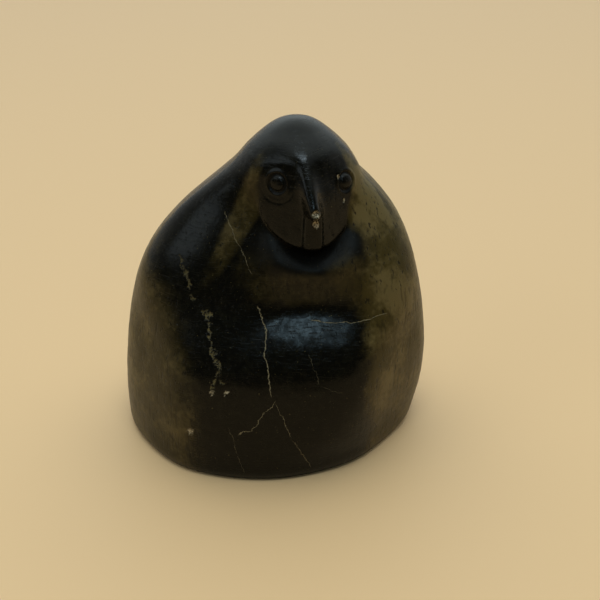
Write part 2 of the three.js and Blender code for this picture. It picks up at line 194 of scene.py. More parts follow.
@dataclass(frozen=True)
class StoneForm:
    """The body and head of the carving, without its face, as reaches from a leaning axis.

    Lengths are in metres, heights are shares of the whole, and powers say how square an oval is.
    """

    height: float = 81 * MM
    width: float = 75 * MM
    depth: float = 56 * MM
    head_width: float = 25.4 * MM
    face_reach: float = 15.8 * MM
    edge_rise: float = 3.2 * MM
    edge_inset: float = 1.5 * MM
    # The axis leans right and forward up to a height, then drifts back a little at the crown.
    lean_right: float = 0.093
    lean_front: float = 0.071
    lean_top: float = 0.69
    drift_left: float = 0.02
    drift_back: float = 0.024
    drift_from: float = 0.79
    # Height, left, right and back reaches, as shares of height, width and depth.
    sides: Table = (
        (0.0, 0.513, 0.468, 0.411),
        (0.123, 0.516, 0.497, 0.429),
        (0.272, 0.502, 0.504, 0.429),
        (0.42, 0.477, 0.486, 0.407),
        (0.543, 0.438, 0.459, 0.365),
        (0.642, 0.382, 0.426, 0.325),
        (0.716, 0.316, 0.387, 0.293),
        (0.802, 0.212, 0.314, 0.248),
        (0.877, 0.117, 0.232, 0.193),
        (0.938, 0.053, 0.189, 0.132),
    )
    # Height and front reach of the breast below the shelf and of the neck above it.
    breast: Table = ((0.0, 0.564), (0.12, 0.568), (0.36, 0.532), (0.7, 0.46))
    neck: Table = (
        (0.4, 0.384), (0.5, 0.362), (0.58, 0.344), (0.632, 0.326), (0.656, 0.28),
        (0.68, 0.236), (0.72, 0.222), (0.802, 0.2), (0.877, 0.205), (0.938, 0.198),
    )
    # The hollow under the chin climbs to either side, by this share at a quarter turn.
    hollow_climb: float = 0.22
    hollow_top: Pair = (0.7, 0.85)
    # To either side of the neck the front is a smoother shoulder.
    shoulder: Table = ((0.4, 0.384), (0.56, 0.345), (0.68, 0.286), (0.8, 0.226), (0.938, 0.2))
    # A sloping shelf joins breast and neck: its middle's height and front reach, and its lean.
    shelf_at: float = 0.44
    shelf_front: float = 0.446
    shelf_lean: float = math.radians(40)
    shelf_crease: float = 1.6 * MM
    shelf_crease_sides: float = 9 * MM
    shelf_rounding: float = 8 * MM
    crease_fade: Pair = (math.radians(18), math.radians(52))
    # Height, half width of the head and front reach of the face, as shares of their sizes.
    head: Table = (
        (0.66, 0.431, 0.947),
        (0.728, 0.457, 1.0),
        (0.79, 0.48, 0.994),
        (0.84, 0.5, 0.962),
        (0.881, 0.465, 0.899),
        (0.917, 0.39, 0.759),
        (0.953, 0.268, 0.532),
    )
    head_top: float = 0.986
    chin: float = 0.672
    jaw_side_rise: float = 0.105
    jaw_front_rise: float = 0.037
    jaw_side_power: float = 2.2
    jaw_front_power: float = 2.6
    face_power: float = 2.3
    nape_power: float = 2.0
    # Where the head doesn't stand out of the body, the jaw line runs at this height.
    jaw_limit: float = 0.83
    flanks: tuple[Flank, ...] = (
        Flank(-52, 1.01, 0.945),
        Flank(50, 0.91, 0.885),
        Flank(22, 0.955, 1.12),
    )
    flank_rise: Pair = (0, 0.3)
    flank_fade: Pair = (0.37, 0.62)
    flank_edge: float = 0.08
    # How square the front is at the foot, the belly and the neck, and the heights between.
    foot_power: float = 2.3
    belly_power: float = 2.8
    neck_power: float = 2.0
    back_power: float = 2.3
    foot_to_belly: Pair = (0.07, 0.35)
    belly_to_neck: Pair = (0.54, 0.79)
    # How broadly head and hood are rounded together at jaw and crown, and where that narrows.
    hood_edge: Pair = (0.032, 0.268)
    hood_edge_rise: Pair = (0.79, 0.9)
    crown_narrowing: float = 1 / 11.5
    least_hood_edge: float = 0.02
    face_turn: float = math.radians(8)
    cheek_turn: float = math.radians(38)
    cheek_tilt: float = math.radians(9)
    cheek_reach: float = 0.461
    cheek_level: float = 0.84
    # A cheek leans back further above its level, along an arc of this radius.
    cheek_round: float = 18 * MM
    # How broadly a cheek is rounded into the rest at jaw and brow, and the heights between.
    cheek_edge: Pair = (0.055, 0.12)
    cheek_edge_rise: Pair = (0.78, 0.9)

    def axis(self, share: Array) -> tuple[Array, Array]:
        """Returns the axis's x and y: it leans right and forward, then drifts back a little."""
        lean = ease(0, self.lean_top, share)
        drift = ease(self.drift_from, 1, share)
        right = self.lean_right * lean - self.drift_left * drift
        front = self.lean_front * lean - self.drift_back * drift
        return self.width * right, -self.depth * front

    def from_front(self, share: Array, front: Array) -> Array:
        """Returns reaches from the axis for front reaches given as shares of the depth."""
        return self.depth * front + self.axis(share)[1]

    def domed(self, stations: Array, reach: Array, top: float) -> Curve:
        """Makes a reach that closes as a dome: its square is a fair curve that ends at 0."""
        squares = fair_curve(np.append(stations, top), np.append(reach**2, 0))
        return lambda share: np.sqrt(np.maximum(squares(share), LEAST_SQUARE))

    def __post_init__(self) -> None:
        """Fits the profile curves once."""
        at, left, right, back = np.array(self.sides).T
        x, y = self.axis(at)
        head_at, half, face = np.array(self.head).T
        neck_at, neck = np.array(self.neck).T
        shoulder_at, shoulder = np.array(self.shoulder).T
        breast_at, breast = np.array(self.breast).T
        curves = {
            "left_reach": self.domed(at, self.width * left + x, 1),
            "right_reach": self.domed(at, self.width * right - x, 1),
            "back_reach": self.domed(at, self.depth * back - y, 1),
            "neck_reach": self.domed(neck_at, self.from_front(neck_at, neck), 1),
            "shoulder_reach": self.domed(shoulder_at, self.from_front(shoulder_at, shoulder), 1),
            "breast_reach": fair_curve(breast_at, self.from_front(breast_at, breast)),
            "head_half": self.domed(head_at, self.head_width * half, self.head_top),
            "head_front": self.domed(head_at, self.face_reach * face, self.head_top),
        }
        for name, curve in curves.items():
            object.__setattr__(self, name, curve)

    def front_reach(self, turn: Array, share: Array) -> Array:
        """Returns the depth of the front: breast, sloping shelf and neck.

        Breast and shelf are rounded together. The shelf meets the neck in a crease, which is
        sharp in the middle and widens towards either flank.

        Args:
            turn: angles from straight ahead, in radians.
            share: heights as shares of the whole.

        Returns:
            The front half depth of each section, in metres.
        """
        rise = (share - self.shelf_at) * self.height
        shelf = self.from_front(share, self.shelf_front) - math.tan(self.shelf_lean) * rise
        rounded = blend_min(self.breast_reach(share), shelf, self.shelf_rounding)
        sideways = ease(*self.crease_fade, np.abs(turn - self.face_turn))
        crease = mix(self.shelf_crease, self.shelf_crease_sides, sideways)
        climb = self.hollow_climb * (1 - np.cos(turn - self.face_turn))
        climb = climb * (1 - ease(*self.hollow_top, share))
        above = mix(self.neck_reach(share - climb), self.shoulder_reach(share), sideways)
        return blend_max(rounded, above, crease)

    def body_reach(self, turn: Array, share: Array) -> Array:
        """Returns the hooded body's reach.

        Its section is an oval, its front corners are cut by the flanks, and its foot is rounded.

        Args:
            turn: angles from straight ahead, in radians, positive towards +X.
            share: heights as shares of the whole.

        Returns:
            Reach from the axis, in metres.
        """
        lower = mix(self.foot_power, self.belly_power, ease(*self.foot_to_belly, share))
        power = mix(lower, self.neck_power, ease(*self.belly_to_neck, share))
        front = self.front_reach(turn, share)
        side = np.where(np.sin(turn) > 0, self.right_reach(share), self.left_reach(share))
        faces_front = np.cos(turn) > 0
        ahead = np.where(faces_front, front, self.back_reach(share))
        reach = oval(turn, side, ahead, np.where(faces_front, power, self.back_power))
        for flank in self.flanks:
            facing = math.radians(flank.turn)
            own_side = self.right_reach(share) if flank.turn > 0 else self.left_reach(share)
            corner = oval(facing, own_side, self.breast_reach(share), power)
            distance = mix(flank.foot, flank.belly, ease(*self.flank_rise, share)) * corner
            plane = plane_reach(turn, facing, distance)
            cut = blend_min(reach, plane, self.flank_edge * self.width)
            reach = mix(cut, reach, ease(*self.flank_fade, share))
        brown_overflow = np.clip(1 - share * self.height / self.edge_rise, 0, 1)
        return reach - self.edge_inset * (1 - np.sqrt(1 - brown_overflow**2))

    def head_reach(self, turn: Array, share: Array) -> Array:
        """Returns the head's reach: an oval that narrows to the chin, cut by two cheek planes."""

        def closing(rise: float, power: float) -> Array:
            """Returns 0 at the chin and 1 a rise above it, along (1 - t^p)^(1/p)."""
            t = np.clip((self.chin + rise - share) / rise, 0, 1)
            return (1 - t**power) ** (1 / power)

        sides = closing(self.jaw_side_rise, self.jaw_side_power)
        chin = closing(self.jaw_front_rise, self.jaw_front_power)
        half = np.maximum(self.head_half(share) * sides, LEAST_REACH)
        front = np.maximum(self.head_front(share) * chin, LEAST_REACH)
        own_turn = turn - self.face_turn
        ahead = np.cos(own_turn) > 0
        power = np.where(ahead, self.face_power, self.nape_power)
        reach = oval(own_turn, half, np.where(ahead, front, half), power)
        rise = (share - self.cheek_level) * self.height
        distance = self.cheek_reach * self.head_width - math.sin(self.cheek_tilt) * rise
        leans_back = np.maximum(rise, 0) ** 2 / (2 * self.cheek_round)
        distance = distance / math.cos(self.cheek_tilt) - leans_back
        for side in (-1, 1):
            plane = plane_reach(turn, self.face_turn + side * self.cheek_turn, distance)
            width = mix(*self.cheek_edge, ease(*self.cheek_edge_rise, share)) * self.head_width
            reach = blend_min(reach, plane, width)
        return reach

    def plain_reach(self, turn: Array, share: Array) -> Array:
        """Returns the larger of body and head, rounded together more towards the crown."""
        body = self.body_reach(turn, share)
        to_crown = np.clip((1 - share) / self.crown_narrowing, self.least_hood_edge, 1)
        edge = mix(*self.hood_edge, ease(*self.hood_edge_rise, share))
        width = edge * self.head_width * to_crown
        both = blend_max(body, self.head_reach(turn, share), width)
        return np.where((share <= self.chin) | (share >= self.head_top), body, both)

    def place(self, turn: Array, share: Array, reach: Array) -> Array:
        """Returns points that stand a reach out from the axis."""
        x, y = self.axis(share)
        z = np.broadcast_to(share * self.height, np.shape(reach))
        return np.stack([x + reach * np.sin(turn), y - reach * np.cos(turn), z], -1)

    def on(self, places: Sequence[Place]) -> Array:
        """Returns the points of named places on the plain surface."""
        turn = np.radians([p.turn for p in places])
        at = np.array([p.at for p in places])
        return self.place(turn, at, self.plain_reach(turn, at))

    def head_stands_out(self, turn: Array, share: Array) -> Array:
        """Returns whether the head reaches further than the body."""
        return self.head_reach(turn, share) > self.body_reach(turn, share)

    def jaw_line(self, turn: Array) -> Array:
        """Returns the height at which the head first stands out of the body.

        A coarse search brackets it in each column, and halving the bracket closes in on it.

        Args:
            turn: the columns' angles, in radians.

        Returns:
            One height for each column, as a share of the whole.
        """
        coarse_steps, halvings, clearance = 60, 14, 0.002
        levels = np.linspace(self.chin + clearance, self.jaw_limit, coarse_steps)[:, None]
        out = self.head_stands_out(turn[None], levels)
        high = np.where(out.any(axis=0), levels[np.argmax(out, axis=0), 0], self.jaw_limit)
        low = np.maximum(high - (levels[1, 0] - levels[0, 0]), self.chin)
        for _ in range(halvings):
            middle = (low + high) / 2
            stands_out = self.head_stands_out(turn, middle)
            high = np.where(stands_out, middle, high)
            low = np.where(stands_out, low, middle)
        return np.where(out.any(axis=0), high, self.jaw_limit)


def nearest_on(line: Array, points: Array) -> tuple[Array, Array]:
    """Finds each point's distance to a run of straight pieces.

    Args:
        line: the run's corners.
        points: places in metres, with x, y and z last.

    Returns:
        The distances, and how far along the run each nearest place is, from 0 to 1.
    """
    distance = np.full(points.shape[:-1], np.inf)
    along = np.zeros(points.shape[:-1])
    pieces = len(line) - 1
    for i in range(pieces):
        step = line[i + 1] - line[i]
        t = np.clip((points - line[i]) @ step / (step @ step), 0, 1)
        d = np.linalg.norm(points - line[i] - t[..., None] * step, axis=-1)
        along = np.where(d < distance, (i + t) / pieces, along)
        distance = np.minimum(distance, d)
    return distance, along


@dataclass(frozen=True)
class Eye:
    """A round bead in a ring-shaped groove, under a raised lid. Sizes are in metres."""

    seat: Place
    bead_radius: float = 1.65 * MM
    bead_height: float = 0.5 * MM
    groove_radius: float = 1.98 * MM
    groove_depth: float = 0.36 * MM
    lid_radius: float = 2.6 * MM
    lid_height: float = 0.15 * MM
    # The lid's share of its height below and above the eye's middle, and how far off that eases.
    lid_shares: Pair = (0.7, 1.5)
    lid_turns: float = 1.5 * MM
    pouch_radius: float = 4.4 * MM
    pouch_height: float = 0.0
    groove_half: float = 0.34 * MM
    lid_half: float = 0.38 * MM
    pouch_half: float = 0.3 * MM

    def bell(self, d: Array, radius: float, half_width: float) -> Array:
        """Returns a ring that is 1 at its radius and falls off as a bell to either side."""
        return np.exp(-(((d - radius) / half_width) ** 2))

    def relief(self, form: StoneForm, points: Array) -> Array:
        """Returns the height that the eye adds: a dome, a groove, a lid, and a faint fold below."""
        centre = form.on([self.seat])[0]
        offset = points - centre
        d = np.linalg.norm(offset, axis=-1)
        bead = self.bead_height * np.sqrt(np.maximum(1 - (d / self.bead_radius) ** 2, 0))
        groove = self.groove_depth * self.bell(d, self.groove_radius, self.groove_half)
        above = ease(-self.lid_turns, self.lid_turns, offset[..., 2])
        lid_height = mix(*self.lid_shares, above) * self.lid_height
        lid = lid_height * self.bell(d, self.lid_radius, self.lid_half)
        fold = self.pouch_height * (1 - above)
        return bead - groove + lid - fold * self.bell(d, self.pouch_radius, self.pouch_half)


@dataclass(frozen=True)
class Chip:
    """A broken spot: a shallow bowl with a rough floor. Sizes are in metres."""

    seat: Place
    radius: float
    depth: float
    lift: float = 0.0
    raggedness: float = 0.35
    steepness: float = 1.25

    def bowl(self, form: StoneForm, points: Array) -> Array:
        """Returns 1 in the middle of the chip and 0 outside its uneven rim."""
        centre = form.on([self.seat])[0]
        facing = math.radians(self.seat.turn)
        outward = np.array([math.sin(facing), -math.cos(facing), 0])
        d = np.linalg.norm(points - centre - self.lift * outward, axis=-1)
        ragged = 1 + self.raggedness * soft_noise(points, 0.9 * MM, 7)
        fall = (d / (self.radius * ragged)) ** 2
        return np.clip(self.steepness - fall * self.steepness, 0, 1)


@dataclass(frozen=True)
class Face:
    """The carved beak, lower bill, brows and eyes, and all chips. Sizes are in metres."""

    beak: tuple[Place, ...] = (Place(6, 0.914), Place(4.2, 0.87), Place(8.6, 0.807))
    root_height: float = 0.25 * MM
    tip_height: float = 2.9 * MM
    beak_half_width: float = 1.5 * MM
    beak_flat: float = 0.55 * MM
    beak_narrows: float = 0.2 * MM
    beak_growth: float = 1.4
    beak_roundness: float = 1.8
    bill: tuple[Place, ...] = (Place(8.4, 0.795), Place(7.6, 0.71))
    bill_half_width: float = 2.2 * MM
    bill_height: float = 0.9 * MM
    bill_edge: float = 1.2 * MM
    bill_blend: float = 0.3 * MM
    eyes: tuple[Eye, ...] = (
        Eye(Place(-27.5, 0.861), pouch_height=0.05 * MM),
        Eye(Place(53.5, 0.852)),
    )
    brows: tuple[Place, ...] = (Place(-8, 0.93), Place(32, 0.925))
    brow_radius: float = 2.6 * MM
    brow_height: float = 0.35 * MM
    chips: tuple[Chip, ...] = (
        Chip(Place(9, 0.808), 1.0 * MM, 0.7 * MM, 2.6 * MM),
        Chip(Place(9.5, 0.772), 0.8 * MM, 0.4 * MM, 0.6 * MM),
        Chip(Place(44, 0.868), 0.5 * MM, 0.25 * MM),
        Chip(Place(47, 0.802), 0.45 * MM, 0.2 * MM),
        Chip(Place(-31.5, 0.303), 0.5 * MM, 0.2 * MM),
        Chip(Place(-25.8, 0.307), 0.55 * MM, 0.2 * MM),
        Chip(Place(-36.2, 0.161), 0.8 * MM, 0.15 * MM),
    )
    chip_roughness: float = 0.5
    chip_rim: float = 0.3

    def beak_line(self, form: StoneForm) -> Array:
        """Returns the ridge's middle line: a quadratic Bezier curve laid on the plain surface."""
        t = np.linspace(0, 1, 9)[:, None]
        root, bend, tip = (np.array([place.turn, place.at]) for place in self.beak)
        line = (1 - t) ** 2 * root + 2 * t * (1 - t) * bend + t**2 * tip
        return form.on([Place(turn, at) for turn, at in line])

    def relief(self, form: StoneForm, points: Array) -> Array:
        """Returns the height that the carving adds to the plain surface.

        Args:
            form: the stone that the face is cut on.
            points: places on the plain surface.

        Returns:
            Heights in metres, negative where stone is cut away.
        """
        d, along = nearest_on(self.beak_line(form), points)
        half_width = self.beak_half_width - self.beak_narrows * along
        fall = np.maximum(d - self.beak_flat, 0) / half_width
        crest = mix(self.root_height, self.tip_height, along**self.beak_growth)
        ridge = crest * np.exp(-(fall**self.beak_roundness))
        below, _ = nearest_on(form.on(self.bill), points)
        half = self.bill_edge / 2
        inside = ease(self.bill_half_width + half, self.bill_half_width - half, below)
        height = blend_max(ridge, self.bill_height * inside, self.bill_blend)
        for eye in self.eyes:
            height = height + eye.relief(form, points)
        for brow in form.on(self.brows):
            swell = np.linalg.norm(points - brow, axis=-1) / self.brow_radius
            height = height + self.brow_height * np.exp(-(swell**2))
        return height

    def damage(self, form: StoneForm, points: Array) -> tuple[Array, Array]:
        """Returns how deep the chips cut, in metres, and how fresh the break is, from 0 to 1."""
        depth = np.zeros(points.shape[:-1])
        fresh = np.zeros(points.shape[:-1])
        for chip in self.chips:
            bowl = chip.bowl(form, points)
            rough = 1 + self.chip_roughness * soft_noise(points, 0.7 * MM, 19)
            depth = np.maximum(depth, chip.depth * bowl * rough)
            fresh = np.maximum(fresh, ease(0.0, self.chip_rim, bowl))
        return depth, fresh


@dataclass(frozen=True)
class Patch:
    """A soft-edged area round a place, with its half sizes in millimetres and its strength."""

    centre: Place
    across: float
    up: float
    strength: float = 1.0


@dataclass(frozen=True)
class WearAndReflectionFlank:
    """A brown side, from a line that climbs the stone to the back: partly the stone's worn colour,
    partly a painted reflection of the pale floor.
    """

    line: tuple[Place, ...]
    end: float
    strength: float
    softness: float = math.radians(9)
    # Past its end the brown fades over this many degrees, and above its line over these heights.
    fade_back: float = 25
    fade_up: Pair = (0.2, -0.05)

    def share(self, turn: Array, share: Array, wobble: Array) -> Array:
        """Returns how brown each point is: the flank's strength between its line and its end.

        Args:
            turn: angles from straight ahead, in radians.
            share: heights as shares of the whole.
            wobble: an unevenness that shifts the line and its upper end.

        Returns:
            One value for each point.
        """
        side = math.copysign(1, self.line[0].turn)
        heights = [place.at for place in self.line]
        starts = [math.radians(abs(place.turn)) for place in self.line]
        beyond = side * turn - fair_curve(heights, starts)(share) + wobble
        faded = math.radians(self.end + self.fade_back)
        back = ease(faded, math.radians(self.end), side * turn)
        gone, full = (heights[-1] + step for step in self.fade_up)
        up = ease(gone, full, share + wobble)
        return self.strength * ease(-self.softness, self.softness, beyond) * back * up


def run(*pairs: Pair) -> tuple[Place, ...]:
    """Returns places for pairs of turn and height."""
    return tuple(Place(turn, at) for turn, at in pairs)


@dataclass(frozen=True)
class SurfaceColouring:
    """Where the stone is brown and where it is polished, as smooth fields over the surface."""

    # Brown flanks: partly the stone's worn colour, partly a painted reflection of the pale floor.
    flanks: tuple[WearAndReflectionFlank, ...] = (
        WearAndReflectionFlank(
            run((48, 0.0), (40, 0.22), (38, 0.41), (43, 0.54), (51, 0.67), (67, 0.79)),
            end=125,
            strength=1.05,
        ),
        WearAndReflectionFlank(
            run((-30, 0.0), (-37, 0.28), (-50, 0.42), (-60, 0.5), (-80, 0.62)),
            end=130,
            strength=0.62,
            softness=math.radians(15),
        ),
    )
    # Brown patches: partly the stone's worn colour, partly a painted reflection of the pale floor
    # on the collars, the bib and the lower breast.
    brown: tuple[Patch, ...] = (
        Patch(Place(76, 0.79), 3.4, 11, 1.6),
        Patch(Place(62, 0.715), 3.6, 7, 1.3),
        Patch(Place(-58, 0.76), 3.0, 17, 0.55),
        Patch(Place(2, 0.57), 15, 5, 0.4),
        Patch(Place(-40, 0.63), 5, 6, 0.35),
        Patch(Place(42, 0.6), 7, 8, 0.6),
        Patch(Place(62, 0.55), 8, 11, 1.25),
        Patch(Place(0, 0.17), 34, 15, 0.15),
        Patch(Place(150, 0.45), 20, 24, 0.8),
        Patch(Place(-145, 0.25), 18, 16, 0.8),
    )
    polish: tuple[Patch, ...] = (
        Patch(Place(5, 0.44), 24, 9, 1.0),
        Patch(Place(5, 0.93), 14, 9, 1.0),
        Patch(Place(5, 0.84), 6, 9, 0.9),
        Patch(Place(-65, 0.66), 14, 12, 0.6),
        Patch(Place(10, 0.2), 26, 14, 0.55),
        Patch(Place(-170, 0.6), 24, 14, 0.5),
    )
    # A patch fades out between these shares of its half sizes, unevenly, and not round the stone.
    patch_edge: Pair = (1.25, 0.45)
    patch_wobble: float = 0.22
    near_side: Pair = (-0.1, 0.35)

    def spread(
        self, form: StoneForm, patches: Sequence[Patch], points: Array, turn: Array, seed: int
    ) -> Array:
        """Returns the strongest patch at each point, eased by the distance over its half sizes.

        Args:
            form: the stone that carries the patches.
            patches: the areas to draw.
            points: places on the surface.
            turn: the places' angles, in radians.
            seed: number that fixes the patches' uneven edges.

        Returns:
            One value for each point.
        """
        total = np.zeros(points.shape[:-1])
        wobble = self.patch_wobble * soft_noise(points, 22 * MM, seed)
        for patch in patches:
            facing = math.radians(patch.centre.turn)
            offset = points - form.on([patch.centre])[0]
            across = offset[..., 0] * math.cos(facing) + offset[..., 1] * math.sin(facing)
            q = (across / (patch.across * MM)) ** 2 + (offset[..., 2] / (patch.up * MM)) ** 2
            share = ease(*self.near_side, np.cos(turn - facing))
            share = patch.strength * share * ease(*self.patch_edge, np.sqrt(q) + wobble)
            total = np.maximum(total, share)
        return total


def put_in_scene(name: str, data: bpy.types.ID) -> bpy.types.Object:
    """Makes an object of a mesh, lamp or camera and adds it to the scene."""
    made = bpy.data.objects.new(name, data)
    bpy.context.scene.collection.objects.link(made)
    return made


@dataclass
class CarvedStone:
    """The whole carving as one closed mesh, with its colouring kept as attributes."""

    form: StoneForm = field(default_factory=StoneForm)
    face: Face = field(default_factory=Face)
    colouring: SurfaceColouring = field(default_factory=SurfaceColouring)
    columns: int = 440
    front_density: float = 0.45
    edge_rows: int = 7
    body_rows: int = 92
    face_rows: int = 96
    crown_rows: int = 22
    face_rows_top: float = 0.938
    row_gap: float = 0.0012
    # Rows crowd towards the jaw by this power, and the last stands this part of a row off the top.
    face_crowding: float = 1.3
    crown_gap: float = 0.6
    # Steps from the chin between which the face's relief starts, and the heights between which
    # the unevenness starts above the foot and ends at the crown.
    relief_starts: Pair = (-0.004, 0.006)
    hand_starts: Pair = (0, 0.06)
    hand_ends: Pair = (1, 0.97)
    # The unevenness of hand rubbing: depth and wavelength in millimetres, and seed.
    hand_waves: tuple[tuple[float, float, int], ...] = ((0.05, 14, 3), (0.02, 5, 5))
    # The painted shade under the chin: its middle's turn, half sizes in millimetres, and edge.
    hollow_turn: float = 8
    hollow_size: Triple = (14.0, 9.0, 6.0)
    hollow_edge: Pair = (1.3, 0.5)
    # Half width of the painted shade ring in each eye's groove.
    ring_half: float = 0.4 * MM

    def grid(self) -> tuple[Array, Array]:
        """Returns turns and heights: rows follow the worn edge, then the jaw line."""
        u = np.arange(self.columns) * 2 / self.columns - 1
        turn = math.pi * (self.front_density * u + (1 - self.front_density) * u**3)
        edge = self.form.edge_rise / self.form.height
        jaw = self.form.jaw_line(turn)
        foot = edge * (1 - np.cos(np.arange(self.edge_rows) * math.pi / 2 / self.edge_rows))
        body = np.linspace(0, 1, self.body_rows)[:, None]
        rise = np.linspace(0, 1, self.face_rows)[:, None] ** self.face_crowding
        left = 1 - np.arange(1, self.crown_rows + 1) / (self.crown_rows + self.crown_gap)
        crown = 1 - (1 - self.face_rows_top) * left**2
        rows = [
            np.repeat(foot[:, None], self.columns, 1),
            mix(edge, jaw - self.row_gap, body),
            mix(jaw + self.row_gap / 4, self.face_rows_top, rise),
            np.repeat(crown[:, None], self.columns, 1),
        ]
        share = np.vstack(rows)
        return np.broadcast_to(turn, share.shape), share

    def surface(self, turn: Array, share: Array) -> tuple[Array, Array]:
        """Returns the carved surface and its freshly broken spots.

        The plain reach gains the face's relief, eased in at the chin, and loses what the chips
        cut. A slow unevenness of a few hundredths of a millimetre stands for the hand rubbing.

        Args:
            turn: angles from straight ahead.
            share: heights as shares of the whole.

        Returns:
            Points in metres, and the fresh share of each.
        """
        form = self.form
        reach = form.plain_reach(turn, share)
        plain = form.place(turn, share, reach)
        none, full = (form.chin + step for step in self.relief_starts)
        on_face = np.where(np.cos(turn) > 0, ease(none, full, share), 0)
        relief = on_face * self.face.relief(form, plain)
        raised = form.place(turn, share, reach + relief)
        cut, fresh = self.face.damage(form, raised)
        standing = ease(*self.hand_starts, share) * ease(*self.hand_ends, share)
        waves = (
            depth * soft_noise(plain, size * MM, seed) for depth, size, seed in self.hand_waves
        )
        hand = sum(waves) * MM * standing
        return form.place(turn, share, reach + relief - cut + hand), fresh

    def fields(self, points: Array, turn: Array, share: Array) -> Array:
        """Returns brown, polish and painted-shade shares of each point, side by side."""
        form = self.form
        areas = self.colouring
        brown = areas.spread(form, areas.brown, points, turn, 11)
        wobble = math.radians(2.5) * soft_noise(points, 16 * MM, 31)
        for flank in areas.flanks:
            brown = np.maximum(brown, flank.share(turn, share, wobble))
        polish = areas.spread(form, areas.polish, points, turn, 23)
        # Painted shade: the hollow under the chin, and a ring in each eye's groove.
        chin = form.on([Place(self.hollow_turn, form.chin)])[0]
        under = np.linalg.norm((points - chin) / (MM * np.array(self.hollow_size)), axis=-1)
        on_body = (share < form.chin) | ~form.head_stands_out(turn, share)
        shaded_hollows = ease(*self.hollow_edge, under) * on_body
        for eye in self.face.eyes:
            d = np.linalg.norm(points - form.on([eye.seat])[0], axis=-1)
            shaded_hollows = np.maximum(shaded_hollows, eye.bell(d, eye.groove_radius, self.ring_half))
        return np.stack([brown, polish, shaded_hollows], -1)

    def build(self) -> bpy.types.Object:
        """Makes the mesh: rings of points joined by quads, closed by a fan below and above.

        Returns:
            The new object, with its colouring as the attributes "stone" and "broken".
        """
        turn, share = self.grid()
        points, fresh = self.surface(turn, share)
        rows, columns = turn.shape
        x, y = self.form.axis(np.array(1.0))
        poles = np.array([[0, 0, 0], [float(x), float(y), self.form.height]])
        ring, after = np.arange(columns), np.roll(np.arange(columns), -1)
        starts = np.arange(rows - 1)[:, None] * columns
        below, following = starts + ring, starts + after
        quads = np.stack([below, following, following + columns, below + columns], -1)
        under, crown = rows * columns, rows * columns + 1
        top = (rows - 1) * columns
        foot_fan = np.stack([np.full(columns, under), after, ring], -1)
        crown_fan = np.stack([top + ring, top + after, np.full(columns, crown)], -1)
        faces = quads.reshape(-1, 4).tolist() + foot_fan.tolist() + crown_fan.tolist()
        mesh = bpy.data.meshes.new("carving_surface")
        mesh.from_pydata(np.vstack([points.reshape(-1, 3), poles]).tolist(), [], faces)
        mesh.polygons.foreach_set("use_smooth", np.ones(len(mesh.polygons), bool))
        fields = np.append(self.fields(points, turn, share).ravel(), np.zeros(poles.size))
        stone = mesh.attributes.new("stone", "FLOAT_VECTOR", "POINT")
        stone.data.foreach_set("vector", fields.astype(np.float32))
        broken = mesh.attributes.new("broken", "FLOAT", "POINT")
        broken.data.foreach_set("value", np.append(fresh.ravel(), [0, 0]).astype(np.float32))
        mesh.update()
        return put_in_scene("carving", mesh)


class Blend(Enum):
    """How two colours are put together."""

    MIX = "MIX"
    LIGHTEN = "LIGHTEN"


def rgba(colour: Source) -> Source:
    """Returns a colour of three values with its alpha, and leaves a socket as it is."""
    return (*colour, 1.0) if isinstance(colour, tuple) else colour


